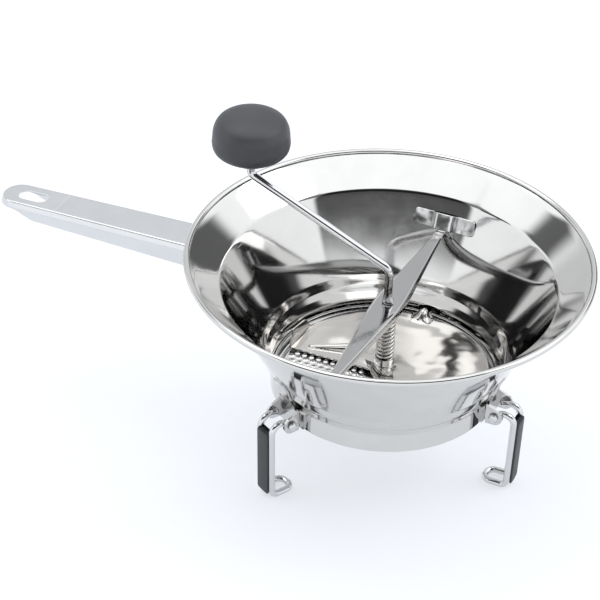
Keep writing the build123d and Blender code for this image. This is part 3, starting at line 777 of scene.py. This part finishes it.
def handle_lines(shrink):
    """Outlines of one skin of the channel, from the top's flat down to the lower edge."""
    lines = []
    for inset, drop in EDGE_PROFILE:
        row = []
        for p in outline_of(inset + shrink):
            crease = inset > 1.5 and not shrink and abs(p.x - CREASE_X) < 0.1
            row.append((p.x, p.y, handle_top(p.x) - shrink + drop - (0.2 if crease else 0.0)))
        lines.append(row)
    for share in (0.35, 0.7, 1.0):
        row = []
        for p in outline_of(0.34 + shrink):
            upper = handle_top(p.x) - 4.3 - shrink
            row.append((p.x, p.y, upper + (handle_foot(p.x) - upper) * share))
        lines.append(row)
    return lines


shell = handle_lines(0.0)
hollow = handle_lines(GRIP_SHEET)
COUNT = len(shell[0])
verts, faces = [], []
for line in shell + hollow:
    verts += [to_wall(*p) for p in line]
rows_out, rows_all = len(shell), len(shell) + len(hollow)
for r in range(rows_out - 1):
    for i in range(COUNT - 1):
        a, b = r * COUNT + i, (r + 1) * COUNT + i
        faces.append([a, a + 1, b + 1, b])
for r in range(rows_out, rows_all - 1):
    for i in range(COUNT - 1):
        a, b = r * COUNT + i, (r + 1) * COUNT + i
        faces.append([a, b, b + 1, a + 1])
last_out, last_in = (rows_out - 1) * COUNT, (rows_all - 1) * COUNT
for i in range(COUNT - 1):
    faces.append([last_out + i, last_out + i + 1, last_in + i + 1, last_in + i])
SLOT_FIRST = GRIP_X.index(SLOT_EDGE)
SLOT_COUNT = len(GRIP_X) - SLOT_FIRST + 1


def handle_web(first, depth):
    """Fills a flat of the handle, leaving the hanging slot open; returns the vertices round the slot."""
    near, far = [], []
    for k in range(SLOT_COUNT):
        x = GRIP_X[SLOT_FIRST + k] if k < SLOT_COUNT - 1 else SLOT_X - SLOT_SHIFT - SLOT_R
        across = max(0.0, abs(x - SLOT_X) - SLOT_SHIFT)
        y = math.sqrt(max(0.0, SLOT_R * SLOT_R - across * across))
        near.append(len(verts))
        verts.append(Vector((x, -y, handle_top(x) - depth)))
        far.append(len(verts) if 0 < k < SLOT_COUNT - 1 else near[-1])
        if 0 < k < SLOT_COUNT - 1:
            verts.append(Vector((x, y, handle_top(x) - depth)))
    for i in range(COUNT // 2):
        low_a, low_b = first + i, first + i + 1
        high_a, high_b = first + COUNT - 1 - i, first + COUNT - 2 - i
        k = i - SLOT_FIRST
        if 0 <= k < SLOT_COUNT - 1:
            faces.append([low_a, low_b, near[k + 1], near[k]])
            faces.append([high_a, far[k], far[k + 1], high_b])
        elif k == -1:
            faces.append([low_a, low_b, near[0], high_b, high_a])
        elif k == SLOT_COUNT - 1:
            faces.append([low_a, low_b, high_b, high_a, near[-1]])
        elif high_b - low_b > 0:
            faces.append([low_a, low_b, high_b, high_a])
        elif high_a - low_b > 0:
            faces.append([low_a, low_b, high_a])
    return near + list(reversed(far[1:-1]))


slot_top = handle_web(0, 0.0)
slot_under = handle_web(rows_out * COUNT, GRIP_SHEET)
for k in range(len(slot_top)):
    n = (k + 1) % len(slot_top)
    faces.append([slot_top[k], slot_top[n], slot_under[n], slot_under[k]])
for r in range(rows_out - 1):
    for i in (0, COUNT - 1):
        a, b = r * COUNT + i, (r + 1) * COUNT + i
        c, d = a + rows_out * COUNT, b + rows_out * COUNT
        faces.append([a, b, d, c] if i == 0 else [a, c, d, b])
faces.append([0, rows_out * COUNT, rows_out * COUNT + COUNT - 1, COUNT - 1])
make("handle_channel", verts, faces, SATIN, "bowl", ["handle"], sharp=40)

# ---------------------------------------------------------------- crank rod, spring, knob
CRANK_REACH, ROD_R = 90, 2.5
rod = rounded([(0, 0, 0.6), (0, 0, 81.8), (-CRANK_REACH, 0, 121.8), (-CRANK_REACH, 0, 147.0)], [7.0, 4.5], 5)
verts, faces = tube_data(divided(rod, 4), ROD_R, 32, 0.3)
make("crank_bar", verts, faces, WIRE, "crank", ["crank_rod"])
FLARE_TOP = 66
flare = [(2.4, 66.5), (2.55, 64.5), (2.9, 61.8), (3.35, 60.2), (3.45, 59.2), (3.3, 58.5), (2.9, 58.4),
         (2.4, 58.42)]
verts, faces = lathe_data([Vector((r, z, 0)) for r, z in flare], 40, False)
for v in verts:
    down = max(0.0, (FLARE_TOP - v.z) / 8)
    v.x *= 1.0 + 0.10 * down
    v.y *= 1.0 - 0.18 * down
make("crank_stop", verts, faces, WIRE, "crank", ())


COIL_R, COIL_WIRE, TURNS, TURN_STEPS = 4.9, 0.7, 14, 28
SEAT_Z, SPRING_LONG = 15.4, 40.6
SPRING_TOP = SEAT_Z + SPRING_LONG
LOWER_LONG = SPRING_LONG / 3
PARTING = SEAT_Z + LOWER_LONG


def coil(name, low, high, turns, lay_start):
    """Part of the spring, lying from a starting angle."""
    pts = []
    n = int(turns * TURN_STEPS)
    for k in range(n + 1):
        a = lay_start + 2 * math.pi * turns * k / n
        pts.append(Vector((COIL_R * math.cos(a), COIL_R * math.sin(a), low + (high - low) * k / n)))
    v, f = tube_data(pts, COIL_WIRE, 12, 0.1)
    return make(name, v, f, COIL, None, ["spring"])


lower = coil("spring_lower", SEAT_Z + COIL_WIRE, PARTING, TURNS / 3, 0.0)
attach(lower, "spring_seat")
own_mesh(lower)
upper = coil("spring_upper", PARTING, SPRING_TOP - COIL_WIRE, TURNS * 2 / 3, 2 * math.pi * TURNS / 3)
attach(upper, "crossbar")
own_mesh(upper)

KNOB_OUT = [(0, 162), (7.4, 161.6), (14.2, 160.3), (19.4, 157.4), (22.0, 152.6), (22.7, 147.0), (22.9, 142.8),
            (21.6, 139.0), (17.6, 136.1), (12.6, 134.45)]
KNOB_STEPS = 63
line = []
for k in range(KNOB_STEPS + 1):
    t = k / KNOB_STEPS * (len(KNOB_OUT) - 1)
    r, z = [between(values, t) for values in zip(*KNOB_OUT)]
    line.append(Vector((max(0, r), z, 0)))
line[0].x = 0.0
line.append(Vector((2.6, 134.42, 0)))
verts, faces = lathe_data(line, 96, False, (-CRANK_REACH, 0))
make("knob_body", verts, faces, KNOB, "knob", ["crank_knob"], sharp=60)

# ---------------------------------------------------------------- folding legs
PIN_R, PIN_Z, LEG_HALF, LEG_WIRE = 74, 4.5, 5.6, 2.0
LEG_TOP = (85.9, 8.2)
LEG_FOOT = (84.6, -46.2)
LEG = [(PIN_R, 11.0, PIN_Z), (PIN_R, LEG_HALF, PIN_Z), (LEG_TOP[0], LEG_HALF, LEG_TOP[1]),
       (LEG_FOOT[0], LEG_HALF, LEG_FOOT[1]), (69.8, LEG_HALF, LEG_FOOT[1])]
LEG_BENDS = [2.2, 6.0, 4.0, 4.8]
PIN_HEAD = [(2.05, 0.0), (2.7, 0.15), (2.95, 0.6), (2.7, 1.15), (1.9, 1.6), (0.9, 1.85), (0, 1.9)]
HEAD_FROM = 9.9
GROOVE_R, PAD_LONG = 2.06, 47.0
PAD_LEVELS = [1.8, 2.2, 3.0] + [3.0 + k * 4.4 for k in range(1, 9)] + [42.0, 44.2, 45.8, PAD_LONG]
for number, angle in enumerate((0, 120, 240), 1):
    pts = LEG + [(x, -y, z) for x, y, z in reversed(LEG)]
    path = divided(rounded(pts, LEG_BENDS + LEG_BENDS[::-1], 8), 4)
    verts, faces = tube_data(path, LEG_WIRE, 24, 0.3)
    make(f"leg_loop_{number}", turned(verts, angle), faces, WIRE, f"leg_{number}", [f"leg_wire_{number}"])
    rivets_v, rivets_f = [], []
    for hand in (-1, 1):
        v, f = lathe_data([Vector((r, z, 0)) for r, z in PIN_HEAD], 28, False)
        base = len(rivets_v)
        rivets_v += [Vector((PIN_R + p.x, hand * (HEAD_FROM + p.z), PIN_Z + p.y)) for p in v]
        rivets_f += [[i + base for i in face] for face in f]
    make(f"leg_pin_heads_{number}", turned(rivets_v, angle), rivets_f, WIRE, f"leg_{number}", (),
         sharp=60)
    tilt = math.atan((LEG_TOP[0] - LEG_FOOT[0]) / (LEG_TOP[1] - LEG_FOOT[1]))
    ex = Vector((math.cos(tilt), 0, -math.sin(tilt)))
    ez = Vector((math.sin(tilt), 0, math.cos(tilt)))
    foot = Vector((LEG_FOOT[0], 0, LEG_FOOT[1]))
    inner_face = rounded([(0.4, -3.55, 0), (-1.5, -3.1, 0), (-1.5, 3.1, 0), (0.4, 3.55, 0)], [0.6, 0.6], 30)
    outer_face = rounded([(2.1, 5.3, 0), (3.1, 5.3, 0), (3.3, 0, 0), (3.1, -5.3, 0), (2.1, -5.3, 0)],
                         [0.8, 30.0, 0.8], 12)
    groove = []
    for k in range(7):
        a = math.radians(170 - k * 24)
        groove.append(Vector((GROOVE_R * math.cos(a), LEG_HALF - GROOVE_R * math.sin(a), 0)))
    loop = inner_face + groove + outer_face + [Vector((p.x, -p.y, 0)) for p in reversed(groove)]
    sections = []
    for z in PAD_LEVELS:
        ends = min(1.0, 0.90 + 0.125 * min(z - 1.8, 0.8), 0.90 + 0.1 * (PAD_LONG - z))
        level = foot + ez * z
        sections.append([level + ex * (0.9 + (p.x - 0.9) * ends) + Vector((0, p.y * ends, 0)) for p in loop])
    verts, faces = skin(sections)
    make(f"leg_sleeve_{number}", turned(verts, angle), faces, RUBBER, f"leg_{number}", [f"leg_pad_{number}"],
         sharp=45)

# ---------------------------------------------------------------- floor, light, camera
FLOOR_Z = -48.3 * MM
plane = bpy.data.meshes.new("floor")
FLOOR_HALF = 6.0
corners = [(x * FLOOR_HALF, y * FLOOR_HALF, FLOOR_Z) for x, y in ((-1, -1), (1, -1), (1, 1), (-1, 1))]
plane.from_pydata(corners, [], [(0, 1, 2, 3)])
floor = bpy.data.objects.new("floor", plane)
bpy.context.scene.collection.objects.link(floor)
mat, tree, shader = nodes_of("floor_paper")
tone = add(tree, "ShaderNodeTexNoise", Scale=3.0, Detail=3.0)
ramp = add(tree, "ShaderNodeValToRGB")
ramp.color_ramp.elements[0].color = (0.42, 0.43, 0.45, 1)
ramp.color_ramp.elements[1].color = (0.44, 0.45, 0.47, 1)
tree.links.new(tone.outputs["Fac"], ramp.inputs["Fac"])
tree.links.new(ramp.outputs["Color"], shader.inputs["Base Color"])
shader.inputs["Roughness"].default_value = 0.9
shader.inputs["Specular IOR Level"].default_value = 0.1
shader.inputs["Emission Color"].default_value = (0.93, 0.96, 1.0, 1)
shader.inputs["Emission Strength"].default_value = 0.60
plane.materials.append(mat)
floor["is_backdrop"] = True

world = bpy.data.worlds.new("studio")
bpy.context.scene.world = world
world.use_nodes = True
wt = world.node_tree
back_node = wt.nodes["Background"]
where = wt.nodes.new("ShaderNodeTexCoord")
split = wt.nodes.new("ShaderNodeSeparateXYZ")
wt.links.new(where.outputs["Generated"], split.inputs["Vector"])


def wmath(op, a, b=None):
    node = wt.nodes.new("ShaderNodeMath")
    node.operation = op
    for k, v in enumerate((a, b)):
        if v is None:
            continue
        if isinstance(v, (int, float)):
            node.inputs[k].default_value = v
        else:
            wt.links.new(v, node.inputs[k])
    return node.outputs[0]


def band(value, low, high, soft_low, soft_high):
    """1 inside low..high, fading at both ends."""
    out_sockets = []
    for edge, direction, soft in ((low, 1, soft_low), (high, -1, soft_high)):
        node = wt.nodes.new("ShaderNodeMapRange")
        node.interpolation_type = "SMOOTHSTEP"
        node.inputs["From Min"].default_value = edge - soft * direction
        node.inputs["From Max"].default_value = edge + soft * direction
        node.inputs["To Min"].default_value = 0.0
        node.inputs["To Max"].default_value = 1.0
        wt.links.new(value, node.inputs["Value"])
        out_sockets.append(node.outputs["Result"])
    return wmath("MULTIPLY", *out_sockets)


elevation = wmath("MULTIPLY", wmath("ARCSINE", split.outputs["Z"]), 180 / math.pi)


def azimuth_from(centre):
    """Degrees round from a compass direction, -180 to 180."""
    turn = Matrix.Rotation(math.radians(-centre), 3, "Z")
    node = wt.nodes.new("ShaderNodeVectorRotate")
    node.rotation_type = "Z_AXIS"
    node.inputs["Angle"].default_value = math.radians(-centre)
    wt.links.new(where.outputs["Generated"], node.inputs["Vector"])
    parts = wt.nodes.new("ShaderNodeSeparateXYZ")
    wt.links.new(node.outputs["Vector"], parts.inputs["Vector"])
    return wmath("MULTIPLY", wmath("ARCTAN2", parts.outputs["Y"], parts.outputs["X"]), 180 / math.pi)


# Dark openings in a white tent: (compass direction, half width, edge softness, lowest,
# its softness, highest, its softness, darkness, droop towards the ends)
OPENINGS = [
    (-69.0, 54.0, 2.0, 24.5, 0.25, 58.0, 2.5, 0.92, 0.00185),
    (-66.0, 76.0, 3.0, 30.0, 2.0, 52.0, 2.5, 0.80, 0.0),
    (11.0, 7.0, 2.0, 45.0, 3.0, 53.0, 1.5, 0.55, 0.0),
    (70.0, 16.0, 5.0, 2.0, 3.0, 25.0, 4.0, 0.88, 0.0),
    (176.0, 12.0, 5.0, 20.0, 4.0, 36.0, 2.5, 0.88, 0.0),
    (125.0, 36.0, 8.0, -4.0, 5.0, 56.0, 8.0, 0.35, 0.0),
    (0.0, 400.0, 5.0, 80.0, 5.0, 120.0, 5.0, 0.55, 0.0),
]
light_left = None
for centre, half, soft, low, low_soft, high, high_soft, strength, droop in OPENINGS:
    around = azimuth_from(centre)
    sideways = band(around, -half, half, soft, soft)
    height = wmath("ADD", elevation, wmath("MULTIPLY", wmath("MULTIPLY", around, around), droop))
    inside = wmath("MULTIPLY", sideways, band(height, low, high, low_soft, high_soft))
    keep = wmath("SUBTRACT", 1.0, wmath("MULTIPLY", inside, strength))
    light_left = keep if light_left is None else wmath("MULTIPLY", light_left, keep)
lift = wt.nodes.new("ShaderNodeMapRange")
lift.interpolation_type = "SMOOTHSTEP"
lift.inputs["From Min"].default_value = -5
lift.inputs["From Max"].default_value = 60
lift.inputs["To Min"].default_value = 1.25
lift.inputs["To Max"].default_value = 1.60
wt.links.new(elevation, lift.inputs["Value"])
wt.links.new(wmath("MULTIPLY", lift.outputs["Result"], light_left), back_node.inputs["Strength"])
back_node.inputs["Color"].default_value = (0.965, 0.98, 1.0, 1)


def softbox(name, location, target, size, power, colour=(1, 1, 1)):
    data = bpy.data.lights.new(name, "AREA")
    data.shape = "RECTANGLE"
    data.size, data.size_y = size
    data.energy = power
    data.color = colour
    lamp = bpy.data.objects.new(name, data)
    bpy.context.scene.collection.objects.link(lamp)
    lamp.location = location
    lamp.rotation_euler = (Vector(target) - Vector(location)).to_track_quat("-Z", "Y").to_euler()


softbox("key", (-0.7, 0.3, 1.9), (0, 0, 0), (1.2, 1.2), 6)
softbox("fill", (1.0, 0.5, 1.3), (0, 0, 0), (0.9, 0.6), 4)

camera_data = bpy.data.cameras.new("camera")
camera = bpy.data.objects.new("camera", camera_data)
bpy.context.scene.collection.objects.link(camera)
bpy.context.scene.camera = camera
camera_data.lens = 134.48
camera_data.sensor_width = 36.0
look = Vector((-0.3242, 0.7473, -0.5800)).normalized()
right = look.cross(Vector((0, 0, 1))).normalized()
over = right.cross(look)
spin = math.radians(1.8)
cam_right = right * math.cos(spin) + over * math.sin(spin)
cam_up = over * math.cos(spin) - right * math.sin(spin)
facing = Matrix((cam_right, cam_up, -look)).transposed().to_4x4()
camera.matrix_world = Matrix.Translation((0.3796, -1.0045, 0.8215)) @ facing

bpy.context.scene.view_settings.view_transform = "Standard"

low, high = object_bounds()
